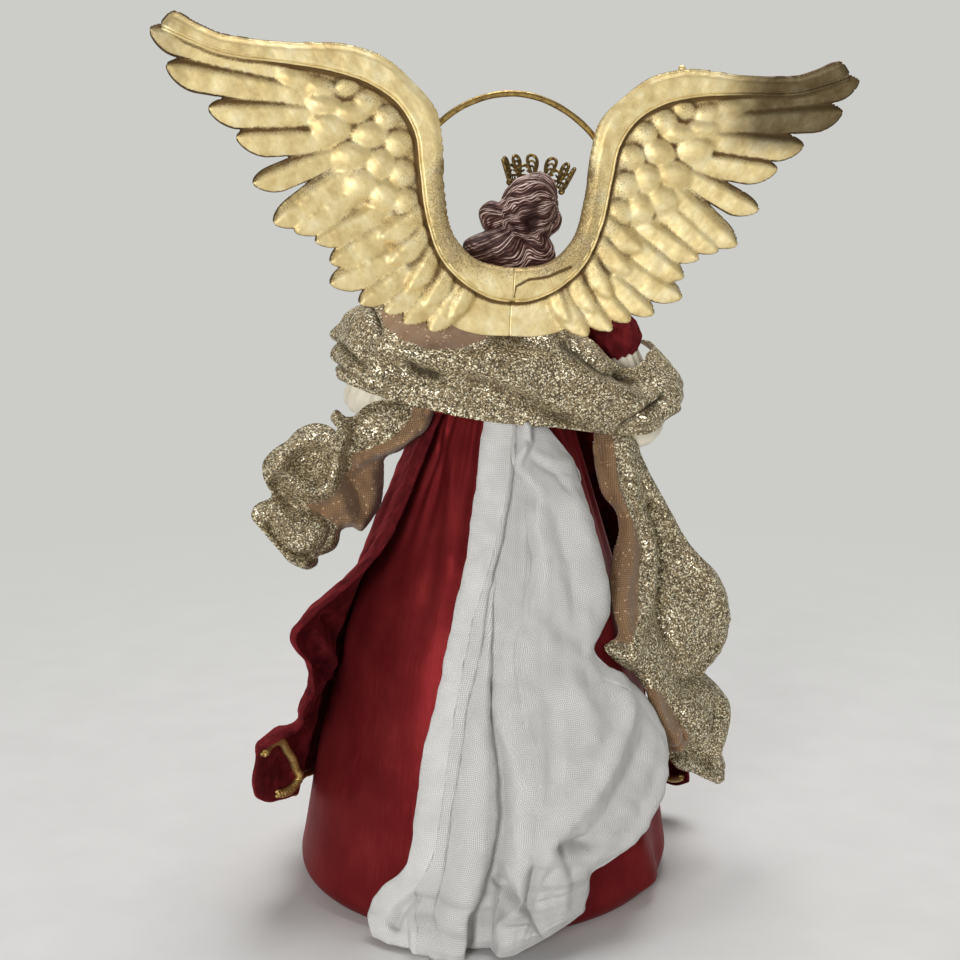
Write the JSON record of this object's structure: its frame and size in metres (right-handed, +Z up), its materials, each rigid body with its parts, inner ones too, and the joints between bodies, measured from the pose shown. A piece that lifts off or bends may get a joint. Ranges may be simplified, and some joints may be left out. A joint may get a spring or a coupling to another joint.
{
  "type": "angel tree topper",
  "caption": "Winged robed figure on a hollow cone that slips over a tree's leader, with wire halo, coronet, glitter stole, linen train, bendable forearms and pull-off wings.",
  "frame": {"origin": "on the table, under the middle of the bounding box", "axes": "+Z up, +Y the way the figure faces, +X to the figure's own right; the wings are on the -Y side"},
  "size_m": [0.3261, 0.2015, 0.4164],
  "materials": {
    "card": "plain grey-brown card",
    "wood": "bare turned wood",
    "burgundy_satin": "burgundy satin with a soft sheen",
    "batting": "off-white filling",
    "burgundy_velvet": "dark burgundy velvet pile",
    "gold_trim": "twisted metallic gold braid",
    "white_linen": "open plain-weave white linen",
    "steel_wire": "plain wire",
    "cream_satin": "cream satin",
    "painted_skin": "painted resin, satin",
    "painted_hair": "painted resin, dry-brushed",
    "antique_brass": "antique brass",
    "gilt_resin": "gold leaf over resin with a brown patina",
    "glitter_cloth": "gold lurex glitter cloth with a copper open-weave reverse"
  },
  "bodies": {
    "figure": {"foot_ring": "card", "tree_cone": "card", "cone_plug": "wood", "spine_post": "wood", "satin_skirt": "burgundy_satin", "skirt_batting": "batting", "velvet_overskirt": "burgundy_velvet", "gold_braid": "gold_trim", "linen_train": "white_linen", "waist_tie": "gold_trim", "torso": "batting", "velvet_bodice": "burgundy_velvet", "shoulder_wire": "steel_wire", "shoulder_puff_left": "burgundy_velvet", "shoulder_puff_right": "burgundy_velvet", "sleeve_left": "cream_satin", "sleeve_right": "cream_satin", "head": "painted_skin", "hair": "painted_hair", "coronet": "antique_brass", "wing_socket": "wood", "stole_wrap": "glitter_cloth", "stole_tail_left": "glitter_cloth", "stole_tail_right": "glitter_cloth"},
    "left_forearm": {"forearm_left": "cream_satin", "forearm_wire_left": "steel_wire", "hand_left": "painted_skin"},
    "right_forearm": {"forearm_right": "cream_satin", "forearm_wire_right": "steel_wire", "hand_right": "painted_skin"},
    "wing_pair": {"wing_left": "gilt_resin", "wing_right": "gilt_resin", "wing_tongue": "wood", "halo": "antique_brass", "halo_pad_left": "gilt_resin", "halo_pad_right": "gilt_resin"}
  },
  "joints": [
    {"name": "left_elbow", "type": "hinge", "parent": "figure", "child": "left_forearm", "pos_m": [-0.0616, 0.002, 0.2416], "axis": [1, 0, 0], "range_deg": [-20, 40]},
    {"name": "right_elbow", "type": "hinge", "parent": "figure", "child": "right_forearm", "pos_m": [0.0704, 0.002, 0.2266], "axis": [1, 0, 0], "range_deg": [-20, 40]},
    {"name": "wings_pull", "type": "slide", "parent": "figure", "child": "wing_pair", "axis": [0, -1, 0], "range_m": [0, 0.04]}
  ]
}
